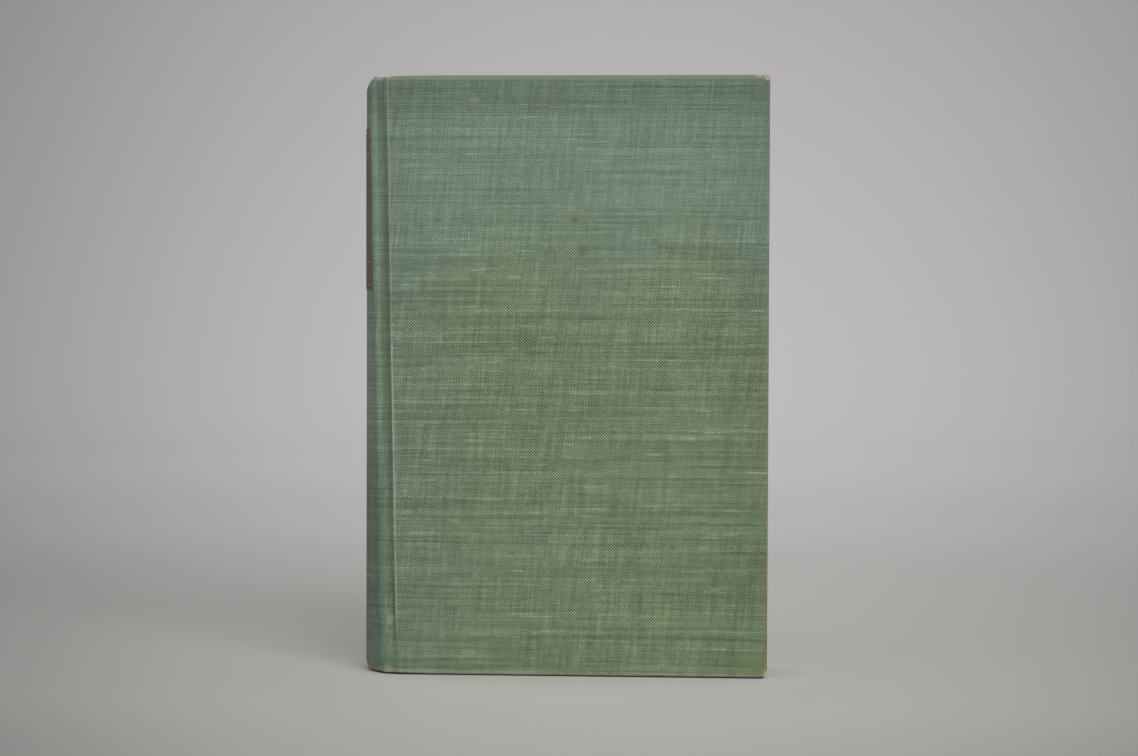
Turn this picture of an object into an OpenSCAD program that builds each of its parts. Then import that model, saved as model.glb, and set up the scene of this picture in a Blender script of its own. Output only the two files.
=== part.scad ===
// Cloth-covered hardback book, closed and standing on its tail edge.
// Width runs along X with the spine at -X, thickness along Y with the front cover at -Y,
// height along Z. The origin is at the middle of the tail, on the surface it stands on.

/* [Case] */
// Height of the boards with their cloth
board_h = 197; // [150:1:260]
// Width from the spine's crown to the fore-edge of the covers
total_w = 134; // [100:1:190]
// Thickness from cover face to cover face
total_t = 32; // [24:0.5:50]
// Thickness of the millboard
board_t = 2.6; // [1.6:0.1:3.6]
// Thickness of the book cloth
cloth_t = 0.4; // [0.25:0.05:0.6]
// Width of the cloth turned in over the edges of the case
turn_in = 15; // [8:0.5:20]
// Radius of the worn corners at the fore-edge
corner_r = 2.4; // [1:0.1:6]
// Radius of the cloth over the board edges, outside
edge_r = 0.6; // [0.2:0.05:0.9]

/* [Joint] */
// Distance from the spine's crown to the crest of the joint, at the head
crest_set = 4.3; // [3.6:0.1:8]
// How much further in the joint runs at the tail than at the head
joint_slant = 3.8; // [0:0.1:6]
// Width of the groove, from its crest to the edge of the cover
groove_w = 3.8; // [3.4:0.1:6]
// How far the crest lies below the face of the cover
crest_drop = 1.1; // [0.8:0.05:1.6]
// Steepness of the groove's wall on the spine side, in degrees
groove_wall = 60; // [50:1:75]
// Radius where that wall meets the groove's floor
groove_r = 0.6; // [0.3:0.05:0.9]
// Height at the tail over which the groove runs out
fade_h = 16; // [6:1:30]
// How far the groove's floor rises at the tail end
fade_rise = 1.4; // [0:0.1:1.6]
// Gap between the groove's floor and the moving cover
joint_gap = 0.15; // [0.1:0.05:0.3]

/* [Page block] */
// Overhang of the boards past the pages at head, tail and fore-edge
square = 3.2; // [2:0.1:5]
// Depth of the hollow in the fore-edge
fore_hollow = 5; // [1:0.5:9]
// Radius of the backed shoulders
shoulder_r = 0.65; // [0.4:0.05:0.9]
// Thickness of the endpapers
endpaper_t = 0.2; // [0.1:0.05:0.3]
// Play between a closed cover and its free endpaper
cover_play = 0.1; // [0.05:0.05:0.5]

/* [Spine] */
// Thickness of the card inlay
inlay_t = 0.5; // [0.3:0.1:0.8]
// Play in the hollow back between inlay and lining
hollow_play = 0.2; // [0.1:0.05:0.6]
// Thickness of the kraft lining
lining_t = 0.15; // [0.1:0.05:0.3]
// Thickness of the gauze
mull_t = 0.25; // [0.15:0.05:0.4]
// Reach of the gauze on to each board
mull_reach = 25; // [12:1:40]
// Radius of the bead of the head and tail bands
band_r = 0.8; // [0.5:0.05:1.1]
// Height of the bands' cloth down the spine
band_skirt = 8; // [4:0.5:12]
// Thickness of the bands' cloth
band_t = 0.15; // [0.1:0.01:0.17]

/* [Label] */
// Height of the spine label
label_h = 53; // [30:1:90]
// Width of the label round the spine
label_w = 27; // [16:0.5:27.5]
// Distance from the head to the label
label_below = 17; // [8:1:60]
// Thickness of the label
label_t = 0.2; // [0.1:0.05:0.4]

/* [Sewing] */
// Number of sewing stations along the spine
sewing_stations = 5; // [3:1:7]
// Distance from the ends of the pages to the first and last station
kettle_in = 14; // [10:1:30]
// Radius of the thread
thread_r = 0.3; // [0.15:0.05:0.4]

/* [Hidden] */

// Film of glue between layers that follow the spine's curve
glue = 0.02;
fore_x = total_w / 2;
crown_x = label_t - total_w / 2;

// Levels out from the middle of the thickness
cover_y = total_t / 2;
board_out_y = cover_y - cloth_t;
board_in_y = board_out_y - board_t;
turn_y = board_in_y - cloth_t;
paste_y = turn_y - endpaper_t;
face_y = paste_y - cover_play - endpaper_t - glue;
free_y = face_y + glue + endpaper_t;
mull_floor_y = free_y + glue + mull_t;
floor_in_y = mull_floor_y + glue;
floor_y = floor_in_y + cloth_t;

// Depths below the outside of the spine
inlay_d = cloth_t + glue;
spine_turn_d = inlay_d + inlay_t + glue;
lining_d = inlay_d + inlay_t + hollow_play;
mull_d = lining_d + lining_t + glue;
block_d = max(mull_d + mull_t + glue, spine_turn_d + cloth_t + 2 * glue + band_t);
band_d = block_d - glue - band_t;

// Rounded crest beside the groove
crest_r = block_d + shoulder_r;
crest_y = cover_y - crest_drop;
crest_cy = crest_y - crest_r;
inner_crest_r = shoulder_r + glue + mull_t;

block_z0 = square;
block_z1 = board_h - square;
block_fore_x = fore_x - square;
mull_z0 = turn_in + square / 4;
mull_z1 = board_h - mull_z0;
label_z1 = board_h - label_below;
label_z0 = label_z1 - label_h;

// Least radius of a corner that is set in from the cover's edge
least_r = 0.2;
// How far a cut runs past the face that it opens
past = 1;
// Share of its steepest angle that the wall of a shallow groove takes
shallow = 0.97;
// Shares of the spine's curve that the strips, the kerfs and the thread in them cover
strip_reach = 0.96;
kerf_reach = 0.9;
thread_reach = 0.88;

// Facets of the spine's curve, of a crest, of a fillet and of the hollow fore-edge
arc_n = 20;
crest_n = 6;
fillet_n = 4;
hollow_n = 12;
// Sections along the groove's run-out and along the rest of the height
fade_n = 4;
long_n = 10;
// A section this close to a layer's own end is left out
level_gap = 0.5;

// Heights where every lofted layer has a section, so that the layers' facets match
levels = concat([for (i = [0:fade_n]) fade_h * i / fade_n],
                [for (i = [1:long_n]) fade_h + (board_h - fade_h) * i / long_n]);

function between(z0, z1) =
    concat([z0], [for (z = levels) if (z > z0 + level_gap && z < z1 - level_gap) z], [z1]);
function backwards(list) = [for (i = [len(list) - 1:-1:0]) list[i]];
function other_side(list) = [for (p = list) [p[0], -p[1]]];
function at_height(list, z) = [for (p = list) [p[0], p[1], z]];

// The joint slants, so the crest and the edge of the cover depend on the height
function slant(z) = joint_slant * (1 - z / board_h);
function crest_x(z) = crown_x + crest_set + slant(z);
function edge_x(z) = crest_x(z) + groove_w;

// The spine's curve is an arc that runs smoothly into the crest on each side
function arc_r(z) =
    let (d = crest_x(z) - crown_x)
    (d * d + crest_cy * crest_cy - crest_r * crest_r) / (2 * (d - crest_r));
function arc_cx(z) = crown_x + arc_r(z);
function arc_end(z) = asin(crest_cy / (arc_r(z) - crest_r));
function arc_point(z, d, a) = [arc_cx(z) - (arc_r(z) - d) * cos(a), (arc_r(z) - d) * sin(a)];
function arc_points(z, d, a0, a1) = [for (i = [0:arc_n]) arc_point(z, d, a0 + (a1 - a0) * i / arc_n)];

// Run-out of the groove near the tail, 1 at the tail edge and 0 above fade_h
function fade(z) = z >= fade_h ? 0 : (1 + cos(180 * z / fade_h)) / 2;

// Steepness of the groove's wall, for a crest radius r and a fillet f. Where the groove is
// shallow the two curves meet sooner, so the wall is less steep.
function wall(r, floor, f) =
    min(groove_wall, shallow * acos(max(-1, 1 - (crest_cy + r - floor) / (r + f))));

// Distance from the crest to the start of the floor
function floor_start(r, floor, f) =
    let (b = wall(r, floor, f))
    (r + f - (floor + f - crest_cy) * cos(b)) / sin(b);

// One side of a layer, from the end of the arc over the crest to the groove's floor
function flank(z, r, floor, f) =
    let (a = arc_end(z), b = 90 + wall(r, floor, f), cx = crest_x(z), fx = cx + floor_start(r, floor, f))
    concat([for (i = [1:crest_n])
               let (c = a + (b - a) * i / crest_n)
               [cx - r * cos(c), crest_cy + r * sin(c)]],
           [for (i = [0:fillet_n])
               let (c = b + (90 - b) * i / fillet_n)
               [fx + f * cos(c), floor + f - f * sin(c)]]);

// A whole layer from the back joint round the spine to the front joint
function wrap(z, d, r, floor, f) =
    let (side = flank(z, r, floor, f), a = arc_end(z))
    concat(backwards(side), arc_points(z, d, a, -a), other_side(side));

// The layer's groove floors run on to x, at the distance y from the middle
function with_ends(list, x, y) = concat([[x, y]], list, [[x, -y]]);

// Solid through sections that all have as many points, each anticlockwise seen from its far end.
// A section of a strip runs out along one face and back along the other, and its end is a row
// of quadrilaterals between the two.
module loft(sections, strip = true) {
    n = len(sections[0]);
    last = len(sections) - 1;
    sides = [for (k = [0:last - 1]) for (i = [0:n - 1])
        let (j = (i + 1) % n)
        each [[k * n + i, (k + 1) * n + i, (k + 1) * n + j], [k * n + i, (k + 1) * n + j, k * n + j]]];
    ring = [for (i = [0:n - 1]) i];
    cap = strip
        ? [for (i = [0:n / 2 - 2])
              each [[i, i + 1, n - 2 - i], [i, n - 2 - i, n - 1 - i]]]
        : [ring];
    far_cap = [for (face = cap) [for (i = [len(face) - 1:-1:0]) last * n + face[i]]];
    polyhedron([for (s = sections) each s], concat(sides, cap, far_cap));
}

// Strip between two depths of the spine's curve
module spine_strip(z0, z1, d0, d1) {
    loft([for (z = between(z0, z1))
        let (a = arc_end(z) * strip_reach)
        at_height(concat(arc_points(z, d0, a, -a), backwards(arc_points(z, d1, a, -a))), z)]);
}

// Quarter turn of a corner, from the angle a0
function corner(x, z, r, a0) =
    [for (i = [0:fillet_n])
        let (a = a0 + 90 * i / fillet_n)
        [x + r * cos(a), z + r * sin(a)]];

// Outline of a cover, seen from outside, set in from its edges
function cover_outline(in) =
    let (r = max(corner_r - in, least_r), x = fore_x - in - r)
    concat([[edge_x(in) + in, in]],
           corner(x, in + r, r, 270),
           corner(x, board_h - in - r, r, 0),
           [[edge_x(board_h - in) + in, board_h - in]]);

// Four-sided area of a cover: from a distance past its slanted edge to a width, between two heights
function panel(from_edge, x1, z0, z1) =
    [[edge_x(z0) + from_edge, z0], [x1, z0], [x1, z1], [edge_x(z1) + from_edge, z1]];

// The same, between two distances past the slanted edge
function slanted(d0, d1, z0, z1) =
    [[edge_x(z0) + d0, z0], [edge_x(z0) + d1, z0], [edge_x(z1) + d1, z1], [edge_x(z1) + d0, z1]];

// Brings a shape drawn flat, with its height as distance from the middle, to the front or the back
module front() {
    rotate([90, 0, 0]) children();
}

module back() {
    mirror([0, 1, 0]) front() children();
}

module sheet(area, y0, y1) {
    translate([0, 0, y0]) linear_extrude(y1 - y0) polygon(area);
}

module cover_board() {
    color([0.62, 0.56, 0.46]) sheet(cover_outline(cloth_t), board_in_y, board_out_y);
}

// Part of the board's inner face that the turned-in cloth leaves bare. It starts just past the
// foot of the cloth that comes down the board's inner edge.
foot = cloth_t + glue;
window_x = fore_x - turn_in;
window = panel(foot, window_x, turn_in, board_h - turn_in);

module cover_cloth() {
    inner_r = cloth_t * 0.7;
    steps = 3;
    outside = [for (i = [0:steps])
        let (a = 90 * i / steps)
        [edge_r * (1 - cos(a)), cover_y - edge_r * (1 - sin(a))]];
    inside = [for (i = [0:steps])
        let (a = 90 * i / steps)
        [inner_r * (1 - sin(a)), turn_y + inner_r * (1 - cos(a))]];
    color([0.44, 0.5, 0.42])
    difference() {
        loft([for (s = concat(inside, outside)) at_height(cover_outline(s[0]), s[1])], strip = false);
        sheet(cover_outline(cloth_t), board_in_y, board_out_y);
        sheet(window, turn_y - past, board_in_y + board_t / 2);
    }
}

module cover_mull_flap() {
    color([0.85, 0.8, 0.68])
    sheet(slanted(foot, mull_reach, mull_z0, mull_z1), board_in_y - mull_t, board_in_y);
}

// The pasted endpaper lies on the turned-in cloth, steps down to the board and over the gauze
module cover_pastedown() {
    flap_y = board_in_y - mull_t;
    step_end = mull_reach + endpaper_t;
    window_z1 = board_h - turn_in;
    inner_window = panel(0, window_x - endpaper_t, turn_in + endpaper_t, window_z1 - endpaper_t);
    color([0.9, 0.86, 0.76])
    union() {
        difference() {
            sheet(panel(cloth_t, fore_x - square, square, board_h - square), paste_y, turn_y);
            sheet(inner_window, paste_y - past, turn_y + past);
        }
        difference() {
            sheet(window, paste_y, board_in_y);
            sheet(inner_window, paste_y - past, board_in_y + past);
        }
        sheet(panel(mull_reach, window_x, turn_in, window_z1), board_in_y - endpaper_t, board_in_y);
        sheet(slanted(mull_reach, step_end, turn_in, window_z1), flap_y - endpaper_t, board_in_y);
        sheet(slanted(foot, step_end, turn_in, window_z1), flap_y - endpaper_t, flap_y);
    }
}

module front_board() {
    front() cover_board();
}

module back_board() {
    back() cover_board();
}

module front_cloth() {
    front() cover_cloth();
}

module back_cloth() {
    back() cover_cloth();
}

module front_pastedown() {
    front() cover_pastedown();
}

module back_pastedown() {
    back() cover_pastedown();
}

module front_mull_flap() {
    front() cover_mull_flap();
}

module back_mull_flap() {
    back() cover_mull_flap();
}

// Ring round the spine's curve at one height, for the kerfs and the thread in them
module round_spine(z, reach) {
    a = arc_end(z) * reach;
    translate([arc_cx(z), 0, z])
        rotate([0, 0, 180 - a])
            rotate_extrude(angle = 2 * a, $fn = 180) children();
}

function station_z(i) =
    block_z0 + kettle_in + (block_z1 - block_z0 - 2 * kettle_in) * i / (sewing_stations - 1);
thread_play = 0.05;
kerf_w = 2 * (thread_r + 2 * thread_play);
kerf_d = 2 * thread_r + 3 * thread_play;

module text_block() {
    hollow_r = (fore_hollow * fore_hollow + face_y * face_y) / (2 * fore_hollow);
    hollow_a = asin(face_y / hollow_r);
    hollow = [for (i = [0:hollow_n])
        let (a = hollow_a * (2 * i / hollow_n - 1))
        [block_fore_x - fore_hollow + hollow_r * (1 - cos(a)), hollow_r * sin(a)]];
    color([0.88, 0.83, 0.71])
    difference() {
        loft([for (z = between(block_z0, block_z1))
            at_height(concat(wrap(z, block_d, shoulder_r, face_y, groove_r), hollow), z)], strip = false);
        for (i = [0:sewing_stations - 1])
            round_spine(station_z(i), kerf_reach)
                translate([arc_r(station_z(i)) - block_d - kerf_d, -kerf_w / 2])
                    square([kerf_d + past, kerf_w]);
    }
}

module sewing_thread() {
    color([0.93, 0.9, 0.82])
    for (i = [0:sewing_stations - 1])
        round_spine(station_z(i), thread_reach)
            translate([arc_r(station_z(i)) - block_d - thread_r - thread_play, 0])
                circle(r = thread_r, $fn = 24);
}

module mull_spine() {
    color([0.85, 0.8, 0.68])
    loft([for (z = between(mull_z0, mull_z1))
        let (x = edge_x(z) - joint_gap,
             outer = wrap(z, mull_d, inner_crest_r, mull_floor_y, groove_r),
             inner = wrap(z, mull_d + mull_t, inner_crest_r - mull_t, mull_floor_y - mull_t, groove_r))
        at_height(concat(with_ends(outer, x, mull_floor_y),
                         backwards(with_ends(inner, x, mull_floor_y - mull_t))), z)]);
}

module spine_lining() {
    color([0.6, 0.46, 0.3])
    spine_strip(mull_z0, mull_z1, lining_d, lining_d + lining_t);
}

// A band's section is a strip of cloth down the spine with a bead rolled into its end.
// Its two faces are lists of [depth below the spine's outside, height above the pages' end].
module band(z_end, up) {
    turns = 8;
    bead_d = band_d + band_r;
    foot_a = asin((band_r - band_t) / band_r);
    tip_a = 80;
    outer = concat([[band_d, -band_skirt], [band_d, band_r]],
                   [for (i = [1:turns])
                       let (a = (90 + tip_a) * i / turns)
                       [bead_d - band_r * cos(a), band_r + band_r * sin(a)]]);
    inner = concat([[band_d + band_t, -band_skirt]],
                   [for (i = [0:turns])
                       let (a = -foot_a + (foot_a + tip_a) * i / turns)
                       [bead_d + band_r * sin(a), band_r - band_r * cos(a)]]);
    section = concat(outer, backwards(inner));
    a_end = arc_end(z_end) * strip_reach;
    color([0.82, 0.72, 0.5])
    loft([for (i = [0:arc_n])
        let (a = up * a_end * (2 * i / arc_n - 1))
        [for (p = section)
            let (z = z_end + up * p[1], q = arc_point(z, p[0], a))
            [q[0], q[1], z]]]);
}

module head_band() {
    band(block_z1, 1);
}

module tail_band() {
    band(block_z0, -1);
}

module free_endpaper() {
    inner = floor_start(shoulder_r, face_y, groove_r) + glue - groove_w;
    color([0.9, 0.86, 0.76])
    sheet(panel(inner, block_fore_x, block_z0, block_z1), face_y + glue, free_y);
}

module front_free_endpaper() {
    front() free_endpaper();
}

module back_free_endpaper() {
    back() free_endpaper();
}

module spine_inlay() {
    color([0.7, 0.62, 0.5])
    spine_strip(cloth_t + glue, board_h - cloth_t - glue, inlay_d, inlay_d + inlay_t);
}

// The spine's cloth with both joints, folded in over the inlay at head and tail
module spine_cloth() {
    turn_d = spine_turn_d + cloth_t;
    color([0.4, 0.46, 0.39])
    union() {
        loft([for (z = between(0, board_h))
            let (x = edge_x(z) - joint_gap,
                 rise = fade_rise * fade(z),
                 outer = wrap(z, 0, crest_r, floor_y + rise, groove_r),
                 inner = wrap(z, cloth_t, crest_r - cloth_t, floor_in_y + rise, groove_r + cloth_t))
            at_height(concat(with_ends(outer, x, floor_y + rise),
                             backwards(with_ends(inner, x, floor_in_y + rise))), z)]);
        spine_strip(0, turn_in, spine_turn_d, turn_d);
        spine_strip(0, cloth_t, cloth_t / 2, turn_d);
        spine_strip(board_h - turn_in, board_h, spine_turn_d, turn_d);
        spine_strip(board_h - cloth_t, board_h, cloth_t / 2, turn_d);
    }
}

module spine_label() {
    color([0.3, 0.24, 0.17])
    loft([for (z = between(label_z0, label_z1))
        let (a = label_w / 2 / arc_r(z) * 180 / PI)
        at_height(concat(arc_points(z, -label_t, a, -a), backwards(arc_points(z, -glue, a, -a))), z)]);
}

front_board();
front_cloth();
front_pastedown();
front_mull_flap();
back_board();
back_cloth();
back_pastedown();
back_mull_flap();
text_block();
sewing_thread();
mull_spine();
spine_lining();
head_band();
tail_band();
front_free_endpaper();
back_free_endpaper();
spine_inlay();
spine_cloth();
spine_label();
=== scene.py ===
import random
from math import acos, asin, cos, dist, exp, pi, radians, sin, sqrt, tan, tau

import bpy
import bmesh
import numpy as np
from mathutils import Matrix, Vector, noise

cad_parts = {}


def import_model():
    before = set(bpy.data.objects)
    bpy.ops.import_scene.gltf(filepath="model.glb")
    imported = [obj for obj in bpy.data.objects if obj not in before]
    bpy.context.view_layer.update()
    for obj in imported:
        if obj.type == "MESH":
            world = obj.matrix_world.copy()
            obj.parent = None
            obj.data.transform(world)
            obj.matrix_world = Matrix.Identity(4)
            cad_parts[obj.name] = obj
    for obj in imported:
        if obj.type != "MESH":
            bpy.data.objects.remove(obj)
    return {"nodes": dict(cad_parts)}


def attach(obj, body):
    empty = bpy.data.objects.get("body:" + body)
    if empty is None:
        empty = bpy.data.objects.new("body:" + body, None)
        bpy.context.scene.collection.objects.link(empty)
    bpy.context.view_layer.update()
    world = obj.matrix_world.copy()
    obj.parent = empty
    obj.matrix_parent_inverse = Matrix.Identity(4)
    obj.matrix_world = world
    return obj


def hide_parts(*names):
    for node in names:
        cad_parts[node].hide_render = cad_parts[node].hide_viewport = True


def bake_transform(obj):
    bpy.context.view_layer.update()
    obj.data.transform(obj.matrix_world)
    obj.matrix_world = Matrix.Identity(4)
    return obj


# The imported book: closed, standing on its tail edge, spine at -X, front cover at -Y.
# Every length below is in millimetres until a mesh is made from it.
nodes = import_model()["nodes"]
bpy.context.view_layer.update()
scene = bpy.context.scene


# The page block: about 220 folded leaves sewn in gatherings, glued up, rounded and backed, so that
# the fore-edge is hollow and the shoulders stand out at the joints. The edges are trimmed, toned
# cream by age and slightly uneven, because each leaf lies where the trimming knife left it.
board_h, fore_x, cover_h = 197.0, 67.0, 16.0
crown_x, crest_set, joint_slant, groove_w = -66.8, 4.3, 3.8, 3.8
crest_cy, groove_wall, groove_r = 12.69, radians(60), 0.6
block_d, shoulder_r, face_h, square, hollow = 1.56, 0.65, 12.08, 3.2, 5.0
leaves, gathering = 220, 8


def smooth(value, low, high):
    share = min(1.0, max(0.0, (value - low) / (high - low)))
    return share * share * (3 - 2 * share)


def crest_x(z):
    return crown_x + crest_set + joint_slant * (1 - z / board_h)


def edge_x(z):
    return crest_x(z) + groove_w


def arc_of(z):
    """Radius, centre and half angle of the spine's curve at a height."""
    d, r = crest_x(z) - crown_x, block_d + shoulder_r
    radius = (d * d + crest_cy * crest_cy - r * r) / (2 * (d - r))
    return radius, crown_x + radius, asin(crest_cy / (radius - r))


def wall_of(r, floor, f):
    """Steepness of the groove's wall and its distance from the crest to the floor."""
    steep = acos(max(-1.0, 1 - (crest_cy + r - floor) / (r + f)))
    b = min(groove_wall, 0.97 * steep)
    return b, (r + f - (floor + f - crest_cy) * cos(b)) / sin(b)


def block_half(x, z):
    """Half the block's thickness at x: it swells at the shoulder and is even from there on."""
    r, f = shoulder_r, groove_r
    b, start = wall_of(r, face_h, f)
    u = x - crest_x(z)
    if u <= 0:
        return crest_cy + r
    if u <= r * sin(b):
        return crest_cy + sqrt(r * r - u * u)
    if u >= start:
        return face_h
    return face_h + f - sqrt(max(0.0, f * f - (start - u) ** 2))


def spine_side(y, z):
    """Where the block's rounded back is, at a distance y from the middle of its thickness."""
    radius, centre, end = arc_of(z)
    inner = radius - block_d
    if abs(y) <= inner * sin(end):
        return centre - sqrt(inner * inner - y * y)
    return crest_x(z) - sqrt(max(0.0, shoulder_r**2 - (abs(y) - crest_cy) ** 2))


def mesh_piece(name, points, faces, finish, body=None, slot=None, **attributes):
    """A mesh from points in millimetres, with its finish, its vector attributes and its body."""
    mesh = bpy.data.meshes.new(name)
    mesh.from_pydata((np.array(points, float) * 0.001).tolist(), [], faces)
    for key, values in attributes.items():
        layer = mesh.attributes.new(key, "FLOAT_VECTOR", "POINT")
        layer.data.foreach_set("vector", np.array(values, np.float32).ravel())
    shape = bmesh.new()
    shape.from_mesh(mesh)
    bmesh.ops.remove_doubles(shape, verts=shape.verts, dist=2e-6)
    bmesh.ops.dissolve_degenerate(shape, edges=shape.edges, dist=1e-7)
    bmesh.ops.recalc_face_normals(shape, faces=shape.faces)
    shape.to_mesh(mesh)
    shape.free()
    mesh.shade_smooth()
    mesh.materials.append(finish)
    made = bpy.data.objects.new(name, mesh)
    scene.collection.objects.link(made)
    if body:
        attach(made, body)
    return made


def grid_faces(rows, columns, first=0, closed=False):
    """Quads over a grid of points that are listed row by row."""
    faces = []
    for i in range(rows - 1):
        here = first + i * columns
        for j in range(columns if closed else columns - 1):
            k = (j + 1) % columns
            faces.append((here + j, here + k, here + columns + k, here + columns + j))
    return faces


class Shade:
    """A shader value. Arithmetic on it adds Math nodes, and node() adds any other node."""

    def __init__(self, tree, socket=None):
        self.tree, self.socket = tree, socket

    def node(self, kind, settings, sockets, out=0):
        made = self.tree.nodes.new("ShaderNode" + kind)
        for key, value in settings.items():
            setattr(made, key, value)
        for key, value in sockets.items():
            named = [s for s in made.inputs if s.identifier == key]
            socket = (named or [s for s in made.inputs if s.name == key])[0]
            if isinstance(value, Shade):
                self.tree.links.new(value.socket, socket)
            else:
                socket.default_value = value
        outputs = [s for s in made.outputs if out in (s.identifier, s.name)]
        return Shade(self.tree, outputs[0] if outputs else made.outputs[out])

    def maths(self, operation, *others):
        """This value and any others through a Math node."""
        names = ("Value", "Value_001", "Value_002")
        return self.node("Math", {"operation": operation}, dict(zip(names, (self, *others))))

    def __add__(self, other):
        return self.maths("ADD", other)

    __radd__ = __add__

    def __sub__(self, other):
        return self.maths("SUBTRACT", other)

    def __rsub__(self, other):
        return self.maths("MULTIPLY_ADD", -1.0, other)

    def __mul__(self, other):
        return self.maths("MULTIPLY", other)

    __rmul__ = __mul__

    def __truediv__(self, other):
        return self.maths("DIVIDE", other)

    def __abs__(self):
        return self.maths("ABSOLUTE")

    def fade(self, low, high, start=0.0, end=1.0):
        """A smooth step from start at low to end at high."""
        ends = {"From Min": low, "From Max": high, "To Min": start, "To Max": end}
        steps = {"interpolation_type": "SMOOTHSTEP"}
        return self.node("MapRange", steps, {"Value": self, **ends})

    def band(self, middle, width):
        """1 at a middle value, falling to 0 at that width on both sides."""
        return abs(self - middle).fade(0.0, width, 1.0, 0.0)

    def cloud(self, size, detail=2.0, roughness=0.5, x=None, y=None, z=0.0):
        """Noise of a size over this vector, or over the values x, y and z."""
        place = self if x is None else self.node("CombineXYZ", {}, {"X": x, "Y": y, "Z": z})
        sockets = {"Vector": place, "Scale": 1 / size, "Detail": detail, "Roughness": roughness}
        return self.node("TexNoise", {"noise_dimensions": "3D"}, sockets)

    def mix(self, first, second):
        """The first colour where this value is 0 and the second where it is 1."""
        sockets = {"Factor_Float": self, "A_Color": first, "B_Color": second}
        return self.node("Mix", {"data_type": "RGBA"}, sockets, "Result_Color")

    def tint(self, share, *colour):
        """This colour with a share of another laid over it."""
        return share.mix(self, paint(*colour))

    def dim(self, by):
        """This colour times a value."""
        return self.node("VectorMath", {"operation": "SCALE"}, {"Vector": self, "Scale": by})


def paint(red, green, blue):
    """A colour as a screen shows it, from 0 to 255, as the shader's linear values."""
    steps = [c / 255 for c in (red, green, blue)]
    return tuple(c / 12.92 if c < 0.04045 else ((c + 0.055) / 1.055) ** 2.4 for c in steps) + (1,)


class Finish:
    """A material with one shader, with its constant roughness and specular level."""

    def __init__(self, name, roughness, specular):
        self.material = bpy.data.materials.new(name)
        self.material.use_nodes = True
        tree = self.material.node_tree
        self.sockets = tree.nodes["Principled BSDF"].inputs
        self.start = Shade(tree)
        self.sockets["Roughness"].default_value = roughness
        self.sockets["Specular IOR Level"].default_value = specular

    def place(self, attribute=None):
        """A vector and its coordinates: an attribute's, or the resting piece's in millimetres."""
        if attribute:
            where = self.start.node("Attribute", {"attribute_name": attribute}, {}, "Vector")
        else:
            where = self.start.node("TexCoord", {}, {}, "Object").dim(1000)
        return where, [where.node("SeparateXYZ", {}, {"Vector": where}, axis) for axis in "XYZ"]

    def give(self, colour, height=None, depth=0.1, strength=1.0, roughness=None):
        """Links the colour, a bump of that depth in millimetres, and the roughness."""
        links = {"Base Color": colour, "Roughness": roughness}
        if height is not None:
            bump = {"Height": height, "Distance": depth * 0.001, "Strength": strength}
            links["Normal"] = height.node("Bump", {}, bump)
        for key, value in links.items():
            if value is not None:
                self.start.tree.links.new(value.socket, self.sockets[key])
        return self.material


def page_edges():
    made = Finish("page_edges", 0.88, 0.25)
    where, (x, _, z) = made.place()
    _, (index, section, _) = made.place("leaf")
    streak = index.cloud(1.0, 1.0, x=index * 1.37, y=x / 14, z=z / 14)
    line = index.cloud(1.0, 0.0, x=index * 5.1, y=x / 60, z=z / 60)
    patch = where.cloud(24, 2.0)
    dust = z.fade(190.0, 193.9) * (streak * 0.7 + patch * 0.5)
    fox = where.cloud(2.6, 1.0).fade(0.72, 0.8) * patch.fade(0.5, 0.62)
    seam = section.band(0.0, 0.16)
    tone = 0.80 + streak.fade(0.3, 0.7) * 0.18 + line.fade(0.35, 0.65) * 0.14 - seam * 0.16
    colour = patch.fade(0.25, 0.75).mix(paint(223, 208, 172), paint(211, 191, 152))
    colour = colour.tint(dust * 0.45, 166, 150, 122)
    colour = colour.tint(fox * 0.5, 150, 106, 62)
    return made.give(colour.dim(tone), streak + line * 0.6, 0.05, 0.6)


# Stations along a leaf's edges, close together where the spine's shoulder curves.
stations_u = [0, 0.012, 0.025, 0.04, 0.06, 0.1, 0.17, 0.27, 0.4, 0.55, 0.7, 0.85, 0.95, 1.0]
stations_z = [i / 22 for i in range(23)]
low_z, high_z = square, board_h - square
rng = random.Random(7)
uneven = [rng.gauss(0, 0.03) for _ in range(leaves + 1)]


def leaf_point(k, u, w):
    """A point of leaf k: u runs from the spine to the fore-edge and w from tail to head."""
    v = 2 * k / leaves - 1
    share = k % gathering / gathering
    bow = 0.05 * (1 - (2 * share - 1) ** 2) + uneven[k]
    z = low_z + (high_z - low_z) * w
    spine = spine_side(v * (crest_cy + shoulder_r), z)
    x = spine + (fore_x - square - hollow * (1 - v * v) - 0.06 + bow - spine) * u
    y = v * block_half(x, z)
    wave = noise.noise(Vector((k * 0.37, x * 0.03, z * 0.02)))
    z += (bow - 0.06 + 0.03 * wave) * ((w == 1) - (w == 0)) * min(1, u * 40)
    return x + 0.06 * wave * (u == 1), y, z


points, marks = [], []
for k in range(leaves + 1):
    around = [(u, 1) for u in stations_u] + [(1, w) for w in reversed(stations_z[1:-1])]
    around += [(u, 0) for u in reversed(stations_u)] + [(0, w) for w in stations_z[1:-1]]
    share = k % gathering / gathering
    points += [leaf_point(k, u, w) for u, w in around]
    marks += [(k, 2 * min(share, 1 - share), 0)] * len(around)
faces = grid_faces(leaves + 1, len(around), closed=True)
for k in (0, leaves):
    faces += grid_faces(len(stations_z), len(stations_u), len(points))
    points += [leaf_point(k, u, w) for w in stations_z for u in stations_u]
    marks += [(k, 1, 0)] * len(stations_z) * len(stations_u)
pages = mesh_piece("page_leaves", points, faces, page_edges(), "page_block", "pages", leaf=marks)
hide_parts("text_block")


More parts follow.
